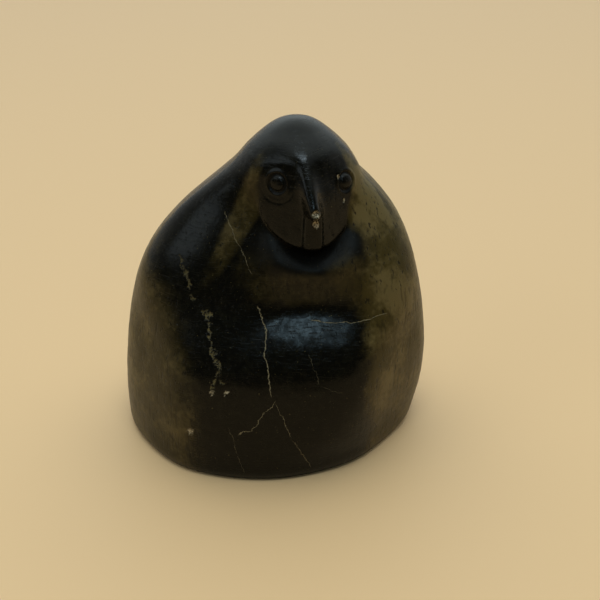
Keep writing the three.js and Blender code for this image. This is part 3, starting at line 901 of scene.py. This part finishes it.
@dataclass
class NodeSheet:
    """A node tree with short ways to add and join its nodes."""

    tree: bpy.types.NodeTree

    def add(self, kind: str, *sources: Source, **settings: object) -> bpy.types.Node:
        """Adds a node, sets its properties by name, and feeds its first sockets in order."""
        node = self.tree.nodes.new(kind)
        for name, value in settings.items():
            setattr(node, name, value)
        for socket, source in zip(node.inputs, sources):
            self.feed(socket, source)
        return node

    def feed(self, socket: Socket, source: Source) -> None:
        """Joins a socket to another, or sets its plain value."""
        if isinstance(source, Socket):
            self.tree.links.new(source, socket)
        else:
            socket.default_value = source

    def feed_named(self, node: bpy.types.Node, sources: dict[str, Source]) -> None:
        """Feeds a node's sockets by name."""
        for name, source in sources.items():
            self.feed(node.inputs[name], source)

    def math(self, operation: str, *values: Source, clamp: bool = False) -> Socket:
        """Returns a Math node's result for its operation and values."""
        node = self.add("ShaderNodeMath", *values, operation=operation, use_clamp=clamp)
        return node.outputs[0]

    def times(self, a: Source, b: Source) -> Socket:
        """Returns a times b."""
        return self.math("MULTIPLY", a, b)

    def less(self, a: Source, b: Source) -> Socket:
        """Returns a less b."""
        return self.math("SUBTRACT", a, b)

    def sum_of(self, a: Source, gain: Source, b: Source, clamp: bool = False) -> Socket:
        """Returns a times a gain, plus b."""
        return self.math("MULTIPLY_ADD", a, gain, b, clamp=clamp)

    def vector(self, operation: str, *values: Source) -> Socket:
        """Returns a Vector Math node's result: a number for a dot product, else a vector."""
        node = self.add("ShaderNodeVectorMath", *values, operation=operation)
        return node.outputs["Value" if operation == "DOT_PRODUCT" else "Vector"]

    def scaled(self, vector: Source, factor: Source) -> Socket:
        """Returns a vector times a number."""
        node = self.add("ShaderNodeVectorMath", vector, operation="SCALE")
        self.feed(node.inputs["Scale"], factor)
        return node.outputs["Vector"]

    def noise(
        self, at: Source, scale: Source, detail: float, roughness: float = 0.5, out: str = "Fac"
    ) -> Socket:
        """Returns a Noise Texture's output at a vector."""
        node = self.add("ShaderNodeTexNoise", at)
        self.feed_named(node, {"Scale": scale, "Detail": detail, "Roughness": roughness})
        return node.outputs[out]

    def band(self, value: Source, start: Source, end: Source) -> Socket:
        """Returns 0 up to start and 1 from end, eased between."""
        node = self.add("ShaderNodeMapRange", value, start, end, interpolation_type="SMOOTHSTEP")
        return node.outputs["Result"]

    def colours(
        self, share: Source, first: Source, second: Source, blend: Blend = Blend.MIX
    ) -> Socket:
        """Returns two colours put together by a share of the second."""
        node = self.add("ShaderNodeMix", data_type="RGBA", blend_type=blend.value)
        self.feed_named(node, {"Factor": share, "A": rgba(first), "B": rgba(second)})
        return node.outputs["Result"]

    def attribute(self, name: str, out: str) -> Socket:
        """Returns an output of one of the mesh's attributes."""
        return self.add("ShaderNodeAttribute", attribute_name=name).outputs[out]

    def group(self, tree: bpy.types.NodeTree, **sources: Source) -> Socket:
        """Places a node group, feeds it by name, and returns its one output."""
        node = self.add("ShaderNodeGroup", node_tree=tree)
        self.feed_named(node, sources)
        return node.outputs[0]


class SocketKind(Enum):
    """The kinds of socket that the groups here have."""

    VALUE = "NodeSocketFloat"
    VECTOR = "NodeSocketVector"


def new_group(
    name: str, vectors: Sequence[str], values: Sequence[str], result: str
) -> tuple[NodeSheet, dict[str, Socket], Socket]:
    """Starts a shader node group with one output, a number.

    Args:
        name: the group's name.
        vectors: the names of the inputs that are vectors.
        values: the names of those that are numbers.
        result: the name of the output.

    Returns:
        The group's sheet, its inputs by name, and the socket that takes its result.
    """
    tree = bpy.data.node_groups.new(name, "ShaderNodeTree")
    kinds = dict.fromkeys(vectors, SocketKind.VECTOR) | dict.fromkeys(values, SocketKind.VALUE)
    for socket, kind in kinds.items():
        tree.interface.new_socket(socket, in_out="INPUT", socket_type=kind.value)
    tree.interface.new_socket(result, in_out="OUTPUT", socket_type=SocketKind.VALUE.value)
    sheet = NodeSheet(tree)
    given = sheet.add("NodeGroupInput").outputs
    taken = sheet.add("NodeGroupOutput").inputs[result]
    return sheet, {name: given[name] for name in kinds}, taken


def vein_group() -> bpy.types.NodeTree:
    """Builds the group for one mineral vein: a thin wandering sheet of limited length.

    The mask is 1 where the distance to the sheet, plus noise, is under half the width. It
    fades past either end and away from the surface that it was placed on, and noise breaks it
    along its length. All lengths are in millimetres.
    """
    vectors = ("Point", "Start", "Along", "Across", "Outward")
    values = ("Length", "Width", "Wander", "Gaps", "Sway", "Breaks")
    sheet, given, taken = new_group("Mineral vein", vectors, values, "Mask")
    end_fade, too_deep, near = 0.4, 9.0, 6.0
    gap_below, gap_above = 0.12, 0.06
    thinnest, thickening = 0.1, 0.9
    outer, inner = 1.3, 0.3
    offset = sheet.vector("SUBTRACT", given["Point"], given["Start"])
    along, across, depth = (
        sheet.vector("DOT_PRODUCT", offset, given[axis]) for axis in ("Along", "Across", "Outward")
    )
    breaks, gaps = given["Breaks"], given["Gaps"]
    away = sheet.math("ABSOLUTE", sheet.sum_of(given["Sway"], given["Wander"], across))
    kept = sheet.band(breaks, sheet.less(gaps, gap_below), sheet.math("ADD", gaps, gap_above))
    half = sheet.times(given["Width"], sheet.sum_of(breaks, thickening, thinnest))
    line = sheet.band(away, sheet.times(half, outer), sheet.times(half, inner))
    start = sheet.band(along, -end_fade, end_fade)
    end = sheet.band(sheet.less(given["Length"], along), -end_fade, end_fade)
    shallow = sheet.band(sheet.math("ABSOLUTE", depth), too_deep, near)
    within = sheet.times(sheet.times(start, end), shallow)
    sheet.feed(taken, sheet.times(sheet.times(line, kept), within))
    return sheet.tree


def streak_group() -> bpy.types.NodeTree:
    """Builds the group for streaks: noise drawn out along one axis and cut at a level.

    The stretch scales the point's coordinates, so a small number makes long marks along it.
    """
    vectors, values = ("Point", "Stretch"), ("Scale", "Level", "Softness")
    sheet, given, taken = new_group("Streaks", vectors, values, "Mask")
    drift_scale, drift_length = 0.12, 2.0
    drift = sheet.noise(given["Point"], drift_scale, 1.0, out="Color")
    bent = sheet.vector("ADD", given["Point"], sheet.scaled(drift, drift_length))
    stretched = sheet.vector("MULTIPLY", bent, given["Stretch"])
    noise = sheet.noise(stretched, given["Scale"], 3.0, 0.55)
    full = sheet.math("ADD", given["Level"], given["Softness"])
    sheet.feed(taken, sheet.band(noise, given["Level"], full))
    return sheet.tree


def mottle_group() -> bpy.types.NodeTree:
    """Builds the group for clouding: broad noise with finer noise over it, about 0.5."""
    sheet, given, taken = new_group("Mottle", ("Point",), ("Size", "Contrast"), "Value")
    middle, finer, fine_share, broad_share = 0.5, 7.0, 0.3, 0.7
    scale = sheet.math("DIVIDE", 1.0, given["Size"])
    broad = sheet.noise(given["Point"], scale, 3.0, 0.55)
    fine = sheet.noise(given["Point"], sheet.times(scale, finer), 2.0, 0.6)
    both = sheet.sum_of(fine, fine_share, sheet.times(broad, broad_share))
    value = sheet.sum_of(sheet.less(both, middle), given["Contrast"], middle, clamp=True)
    sheet.feed(taken, value)
    return sheet.tree


@dataclass(frozen=True)
class Vein:
    """A run of pale mineral between places on the stone, its width and sway in millimetres."""

    places: tuple[Place, ...]
    width: float
    wander: float
    gaps: float
    strength: float
    upward: float = 0.25

    def stretches(self, form: StoneForm) -> Iterator[dict[str, Source]]:
        """Yields what the vein group takes for each stretch, in millimetres.

        Args:
            form: the stone, which gives the places their points.

        Yields:
            The group's inputs by name. Along runs down the stretch, across lies on the stone,
            and outward is square to both.
        """
        points = form.on(self.places) / MM
        turns = np.radians([place.turn for place in self.places])
        for i in range(len(points) - 1):
            step = points[i + 1] - points[i]
            length = float(np.linalg.norm(step))
            middle = (turns[i] + turns[i + 1]) / 2
            along = step / length
            across = np.cross(along, [math.sin(middle), -math.cos(middle), self.upward])
            across /= np.linalg.norm(across)
            axes = {"Along": along, "Across": across, "Outward": np.cross(across, along)}
            yield {name: tuple(axis) for name, axis in axes.items()} | {
                "Start": tuple(points[i]),
                "Length": length,
                "Width": self.width,
                "Wander": self.wander,
                "Gaps": self.gaps,
            }


VEINS: tuple[Vein, ...] = (
    Vein(run((-68, 0.761), (-49, 0.663), (-39, 0.612)), 0.11, 1.2, 0.42, 0.5),
    Vein(run((-28.5, 0.525), (-19.8, 0.477), (-13.5, 0.4), (-5.8, 0.302)), 0.2, 1.7, 0.33, 0.8),
    Vein(run((-4.2, 0.285), (-12, 0.19), (-17, 0.171)), 0.17, 1.8, 0.43, 0.7),
    Vein(run((-3.5, 0.275), (7.8, 0.144), (16.5, 0.043)), 0.12, 1.5, 0.43, 0.7),
    Vein(run((-21, 0.195), (-13.2, 0.037)), 0.09, 1.4, 0.44, 0.4),
    Vein(run((10, 0.487), (34, 0.478), (52, 0.493)), 0.13, 1.0, 0.36, 0.8),
    Vein(run((8.5, 0.408), (15, 0.332), (25, 0.302)), 0.08, 1.6, 0.43, 0.35),
    Vein(run((120, 0.75), (134, 0.5), (128, 0.28)), 0.18, 1.8, 0.4, 0.7),
    Vein(run((-150, 0.62), (-139, 0.2)), 0.14, 1.8, 0.42, 0.6),
)
SEEPS: tuple[Vein, ...] = (
    Vein(run((-50.5, 0.511), (-42, 0.441), (-33, 0.369), (-31, 0.299)), 0.62, 3.4, 0.51, 0.9),
    Vein(run((-38, 0.42), (-28.5, 0.33)), 0.45, 2.6, 0.54, 0.7),
    Vein(run((-71, 0.643), (-64.5, 0.596), (-57.5, 0.534)), 0.5, 2.0, 0.52, 0.6),
    Vein(run((-110, 0.5), (-96, 0.3)), 0.8, 2.6, 0.55, 0.7),
)


def new_material(name: str) -> tuple[bpy.types.Material, NodeSheet, bpy.types.Node]:
    """Starts a material and returns it with its sheet and its shader."""
    made = bpy.data.materials.new(name)
    made.use_nodes = True
    return made, NodeSheet(made.node_tree), made.node_tree.nodes["Principled BSDF"]


@dataclass(frozen=True)
class Streak:
    """Marks drawn out along one axis: the inputs of the streak group."""

    stretch: Triple
    scale: float
    level: float
    softness: float


@dataclass(frozen=True)
class SoapstoneFinish:
    """Dark soapstone: near black where it is polished, olive brown where it is worn, the brown
    partly a painted reflection of the floor.
    """

    black: Triple = (0.0035, 0.0032, 0.0020)
    cloud: Triple = (0.0065, 0.006, 0.0035)
    # Brown and tan: partly the stone's worn colour, partly a painted reflection of the pale floor.
    brown: Triple = (0.050, 0.036, 0.0092)
    tan: Triple = (0.13, 0.096, 0.036)
    vein: Triple = (0.27, 0.225, 0.13)
    seep: Triple = (0.15, 0.12, 0.048)
    broken: Triple = (0.50, 0.43, 0.30)
    polished_roughness: float = 0.17
    plain_roughness: float = 0.25
    rubbed_roughness: float = 0.36
    ior: float = 1.46
    specular: float = 0.18
    flecks: Streak = Streak((1.0, 1.0, 0.22), 1.5, 0.60, 0.08)
    long_flecks: Streak = Streak((1.0, 1.0, 0.08), 0.8, 0.56, 0.14)
    scratches: Streak = Streak((0.06, 0.06, 1.0), 4.5, 0.56, 0.1)
    cross_scratches: Streak = Streak((0.5, 0.5, 0.12), 5.0, 0.62, 0.1)
    # Where a pattern or a field turns from one look to the next.
    brown_band: Pair = (0.1, 1.0)
    brown_limit: Pair = (0.02, 0.5)
    cloud_band: Pair = (0.35, 0.8)
    tan_band: Pair = (0.4, 0.85)
    speck_band: Pair = (0.755, 0.79)
    broken_band: Pair = (0.42, 0.6)
    # How far broad and fine clouding move the brown's edge, what long flecks count beside short
    # ones, and how much polish the hollows under painted shade lose.
    broad_share: float = 0.28
    fine_share: float = 0.18
    long_fleck_share: float = 0.55
    dulled_share: float = 0.9
    mineral_roughness: float = 0.25

    def vein_masks(
        self,
        sheet: NodeSheet,
        tree: bpy.types.NodeTree,
        point: Socket,
        form: StoneForm,
        veins: Sequence[Vein],
    ) -> Source:
        """Places a vein group for each stretch of each vein.

        Args:
            sheet: the material's sheet.
            tree: the vein group.
            point: the socket with the place in millimetres.
            form: the stone, which gives the places their points.
            veins: the veins to draw.

        Returns:
            The strongest mask of all.
        """
        total: Source = 0.0
        quick_share, middle = 0.5, 0.75
        slow = sheet.noise(point, 0.35, 2.0, 0.55)
        quick = sheet.noise(point, 1.6, 2.0, 0.6)
        sway = sheet.less(sheet.sum_of(quick, quick_share, slow), middle)
        breaks = sheet.noise(point, 0.9, 3.0, 0.7)
        for vein in veins:
            for stretch in vein.stretches(form):
                mask = sheet.group(tree, Point=point, Sway=sway, Breaks=breaks, **stretch)
                total = sheet.math("MAXIMUM", total, sheet.times(mask, vein.strength))
        return total

    def material(self, form: StoneForm) -> bpy.types.Material:
        """Builds the stone's material from its fields, clouding, streaks, veins and scratches.

        Args:
            form: the stone, for the places of its veins.

        Returns:
            The material.
        """
        made, sheet, shader = new_material("polished_soapstone")
        streaks, mottle, vein = streak_group(), mottle_group(), vein_group()
        point = sheet.scaled(sheet.add("ShaderNodeTexCoord").outputs["Object"], 1 / MM)
        fields = sheet.add("ShaderNodeSeparateXYZ", sheet.attribute("stone", "Vector"))
        brown_area, polish_area, shaded_hollows = fields.outputs
        fresh = sheet.attribute("broken", "Fac")

        def drawn(streak: Streak) -> Socket:
            """Places the streak group with one kind of streak."""
            sources = {name.capitalize(): value for name, value in vars(streak).items()}
            return sheet.group(streaks, Point=point, **sources)

        broad = sheet.group(mottle, Point=point, Size=8.0, Contrast=1.8)
        fine = sheet.group(mottle, Point=point, Size=1.6, Contrast=2.0)
        grain = sheet.noise(point, 5.0, 3.0, 0.65)
        broad_swing = sheet.less(broad, 0.5)
        uneven = sheet.sum_of(broad_swing, self.broad_share, brown_area)
        uneven = sheet.sum_of(sheet.less(fine, 0.5), self.fine_share, uneven)
        limit = sheet.band(brown_area, *self.brown_limit)
        brown = sheet.times(sheet.band(uneven, *self.brown_band), limit)
        open_share = sheet.less(1.0, sheet.times(shaded_hollows, self.dulled_share))
        polish = sheet.times(polish_area, open_share)

        dark = sheet.colours(sheet.band(fine, *self.cloud_band), self.black, self.cloud)
        # Where the brown field passes 1 it turns tan: partly the stone's worn colour, partly a
        # painted reflection of the pale floor.
        brown_overflow = sheet.math("MAXIMUM", sheet.less(brown_area, 1.0), 0.0)
        paler = sheet.band(sheet.math("ADD", broad, brown_overflow), *self.tan_band)
        base = sheet.colours(brown, dark, sheet.colours(paler, self.brown, self.tan))
        long_flecks = sheet.times(drawn(self.long_flecks), self.long_fleck_share)
        marks = sheet.math("MAXIMUM", drawn(self.flecks), long_flecks)
        seeps = self.vein_masks(sheet, vein, point, form, SEEPS)
        lines = self.vein_masks(sheet, vein, point, form, VEINS)
        speck = sheet.band(sheet.noise(point, 2.4, 1.0), *self.speck_band)
        # Each layer's mask, how strongly it shows, and its colour.
        layers = (
            (marks, 0.75, self.black),
            # Painted shade: the hollows under the chin and in the eye grooves turn near black.
            (shaded_hollows, 0.8, self.black),
            (seeps, 0.8, self.seep),
            (lines, 1.0, self.vein),
            (speck, 0.6, self.seep),
        )
        for mask, share, colour in layers:
            base = sheet.colours(sheet.times(mask, share), base, colour)
        crumbs = sheet.band(sheet.noise(point, 2.2, 3.0, 0.7), *self.broken_band)
        base = sheet.colours(fresh, base, sheet.colours(crumbs, self.brown, self.broken))

        scratches = drawn(self.scratches)
        rough = self.plain_roughness
        rough = sheet.sum_of(brown, self.rubbed_roughness - rough, rough)
        smoother = self.polished_roughness - self.plain_roughness
        rough = sheet.math("ADD", rough, sheet.times(polish, smoother))
        # What each mask adds to the roughness.
        for mask, gain in ((scratches, 0.10), (broad_swing, 0.08), (shaded_hollows, 0.25)):
            rough = sheet.sum_of(mask, gain, rough)
        mineral = sheet.math("MAXIMUM", lines, fresh)
        rough = sheet.sum_of(mineral, self.mineral_roughness, rough, clamp=True)

        # Each mask's height in millimetres. Flecks are shallower and scratches deeper on polish,
        # and the grain is coarser where the stone is brown.
        height = sheet.times(marks, sheet.sum_of(polish, 0.042, -0.05))
        reliefs = (
            (lines, -0.05),
            (seeps, -0.14),
            (scratches, sheet.times(polish, -0.012)),
            (drawn(self.cross_scratches), -0.002),
            (grain, sheet.sum_of(brown, 0.03, 0.004)),
        )
        for mask, gain in reliefs:
            height = sheet.sum_of(mask, gain, height)
        bump = sheet.add("ShaderNodeBump")
        sheet.feed_named(bump, {"Height": height, "Distance": MM, "Strength": 1.0})
        looks = {
            "Base Color": base,
            "Roughness": rough,
            "Normal": bump.outputs["Normal"],
            "IOR": self.ior,
            "Specular IOR Level": self.specular,
        }
        sheet.feed_named(shader, looks)
        return made


@dataclass(frozen=True)
class BoardFinish:
    """The plain pale floor of the studio."""

    colour: Triple = (0.73, 0.47, 0.235)
    roughness: float = 0.6

    def material(self) -> bpy.types.Material:
        """Builds the floor's material."""
        made, sheet, shader = new_material("pale_floor")
        sheet.feed_named(shader, {"Base Color": rgba(self.colour), "Roughness": self.roughness})
        return made


@dataclass(frozen=True)
class SoftLight:
    """A rectangular area light. Places and sizes are in metres, power in watts."""

    name: str
    place: Triple
    size: Pair
    power: float
    colour: Triple
    aim: Triple = (0, 0, 0.05)

    def build(self) -> None:
        """Adds the light, turned to face its aim."""
        lamp = bpy.data.lights.new(self.name, "AREA")
        lamp.shape = "RECTANGLE"
        lamp.size, lamp.size_y = self.size
        lamp.energy = self.power
        lamp.color = self.colour
        made = put_in_scene(self.name, lamp)
        made.location = self.place
        toward = Vector(self.aim) - Vector(self.place)
        made.rotation_euler = toward.to_track_quat("-Z", "Y").to_euler()


@dataclass(frozen=True)
class Studio:
    """Floor, backdrop light, lamps and camera. Sizes are in metres."""

    floor_size: float = 3.0
    floor: BoardFinish = BoardFinish()
    lamps: tuple[SoftLight, ...] = (
        SoftLight("window", (0.03, -0.60, 0.62), (0.09, 0.07), 0.25, (0.56, 0.84, 1.0)),
        SoftLight("side_window", (-0.50, -0.30, 0.45), (0.35, 0.25), 0.42, (0.82, 0.95, 1.0)),
        SoftLight("window_side", (0.19, -0.60, 0.62), (0.08, 0.10), 0.14, (0.56, 0.84, 1.0)),
        SoftLight("high_window", (0.05, -0.25, 1.05), (0.5, 0.12), 2.6, (0.72, 0.90, 1.0)),
    )
    camera_place: Triple = (0.0062, -0.1968, 0.1459)
    camera_pitch: float = math.radians(60)
    picture_size: float = 600
    focal_pixels: float = 900
    sensor_width: float = 36
    nearest: float = 0.01
    low_front: Triple = (0.02, 0.02, 0.02)
    low_back: Triple = (0.6, 0.62, 0.6)
    back_starts: Pair = (-0.5, 0.6)
    dark: Triple = (0.0, 0.0, 0.0)
    top: Triple = (1.36, 1.52, 1.52)
    dome_axis: Triple = (0.0, 0.5, 0.866)
    dome_spread: Pair = (0.35, 0.9)
    brightness: float = 1.0

    def build_floor(self) -> bpy.types.Object:
        """Makes the flat floor that the carving stands on."""
        half = self.floor_size / 2
        mesh = bpy.data.meshes.new("floor")
        corners = [(-half, -half, 0), (half, -half, 0), (half, half, 0), (-half, half, 0)]
        mesh.from_pydata(corners, [], [(0, 1, 2, 3)])
        mesh.materials.append(self.floor.material())
        return put_in_scene("floor", mesh)

    def build_surroundings(self) -> None:
        """Makes the room's light: dark in front, pale behind, under a dome that leans back."""
        world = bpy.data.worlds.new("room")
        world.use_nodes = True
        bpy.context.scene.world = world
        sheet = NodeSheet(world.node_tree)
        direction = sheet.add("ShaderNodeTexCoord").outputs["Generated"]
        toward_back = sheet.add("ShaderNodeSeparateXYZ", direction).outputs["Y"]
        toward_dome = sheet.vector("DOT_PRODUCT", direction, self.dome_axis)
        behind = sheet.band(toward_back, *self.back_starts)
        above = sheet.band(toward_dome, *self.dome_spread)
        low = sheet.colours(behind, self.low_front, self.low_back)
        high = sheet.colours(above, self.dark, self.top)
        shine = sheet.colours(1.0, low, high, Blend.LIGHTEN)
        background = world.node_tree.nodes["Background"]
        sheet.feed_named(background, {"Color": shine, "Strength": self.brightness})

    def build_camera(self) -> None:
        """Sets the camera where the picture was taken from."""
        lens = bpy.data.cameras.new("camera")
        lens.sensor_width = self.sensor_width
        lens.lens = self.focal_pixels * self.sensor_width / self.picture_size
        lens.clip_start = self.nearest
        made = put_in_scene("camera", lens)
        made.location = self.camera_place
        made.rotation_euler = (self.camera_pitch, 0, 0)
        bpy.context.scene.camera = made

    def build(self) -> None:
        """Builds the whole studio."""
        self.build_floor()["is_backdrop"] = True
        self.build_surroundings()
        for lamp in self.lamps:
            lamp.build()
        self.build_camera()
        bpy.context.scene.view_settings.view_transform = "Standard"


def main() -> None:
    """Builds the studio and the carving, and works out the CAD parts' box and the scene's box."""
    logging.basicConfig(level=logging.INFO, format="%(message)s")
    Studio().build()
    log.info("studio: floor, room light, lamps and camera")
    stone = CarvedStone()
    carving = stone.build()
    carving.data.materials.append(SoapstoneFinish().material(stone.form))
    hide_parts(NODE)
    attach(carving, "root")
    log.info("carving: %d faces", len(carving.data.polygons))
    boxes = {"cad": CAD_BOUNDS, "visual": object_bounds()}
    plain = {name: [[float(v) for v in corner] for corner in box] for name, box in boxes.items()}


if __name__ == "__main__":
    main()
